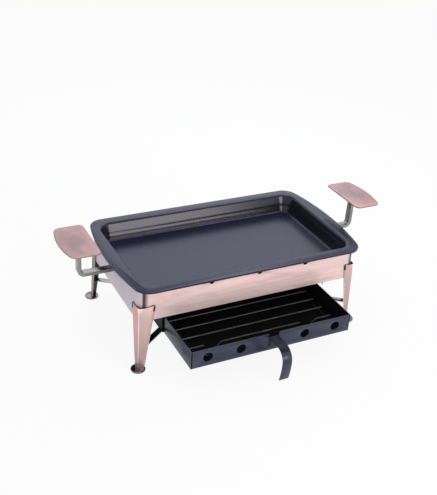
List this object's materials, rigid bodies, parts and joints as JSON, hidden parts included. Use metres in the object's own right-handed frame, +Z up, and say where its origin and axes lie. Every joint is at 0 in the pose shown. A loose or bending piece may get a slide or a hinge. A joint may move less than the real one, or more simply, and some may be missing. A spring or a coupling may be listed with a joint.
{
  "type": "tabletop charcoal grill",
  "caption": "Tabletop charcoal grill: a coated roasting pan dropped into a copper-plated apron stand on splayed legs, over a sliding charcoal drawer with a wire grate and a strap pull.",
  "frame": {"origin": "On the table, under the middle of the apron stand", "axes": "+X along the grill's long side, to the right of someone at the drawer; -Y towards that person, the way the drawer pulls out; +Z up"},
  "size_m": [0.5574, 0.3471, 0.1778],
  "materials": {
    "copper_plate": "antique copper plate on steel sheet, softly brushed",
    "nickel_bar": "satin nickel plate",
    "pan_coating": "satin slate non-stick coating on steel sheet",
    "black_paint": "satin blue-black heatproof paint",
    "wire_steel": "bright drawn wire",
    "dark_nickel": "polished dark nickel plate"
  },
  "bodies": {
    "stand": {"apron_band": "copper_plate", "leg_front_left": "copper_plate", "leg_front_right": "copper_plate", "leg_rear_left": "copper_plate", "leg_rear_right": "copper_plate", "foot_front_left": "dark_nickel", "foot_front_right": "dark_nickel", "foot_rear_left": "dark_nickel", "foot_rear_right": "dark_nickel", "rail_strap_front_left": "dark_nickel", "rail_strap_front_right": "dark_nickel", "rail_strap_rear_left": "dark_nickel", "rail_strap_rear_right": "dark_nickel", "drawer_rail_left": "black_paint", "drawer_rail_right": "black_paint", "handle_bar_left": "nickel_bar", "handle_bar_right": "nickel_bar", "handle_plate_left": "copper_plate", "handle_plate_right": "copper_plate"},
    "drawer": {"drawer_tray": "black_paint", "drawer_front": "black_paint", "drawer_pull": "black_paint"},
    "grate": {"grate_bars": "wire_steel", "grate_foot_wire_front": "wire_steel", "grate_foot_wire_rear": "wire_steel", "grate_cross_wire_left": "wire_steel", "grate_cross_wire_right": "wire_steel"},
    "pan": {"roasting_pan": "pan_coating"}
  },
  "joints": [
    {"name": "drawer_slide", "type": "slide", "parent": "stand", "child": "drawer", "axis": [0, -1, 0], "range_m": [-0.0755, 0.075]},
    {"name": "grate_lift", "type": "slide", "parent": "drawer", "child": "grate", "axis": [0, 0, 1], "range_m": [0, 0.02]},
    {"name": "pan_lift", "type": "slide", "parent": "stand", "child": "pan", "axis": [0, 0, 1], "range_m": [0, 0.08]}
  ]
}
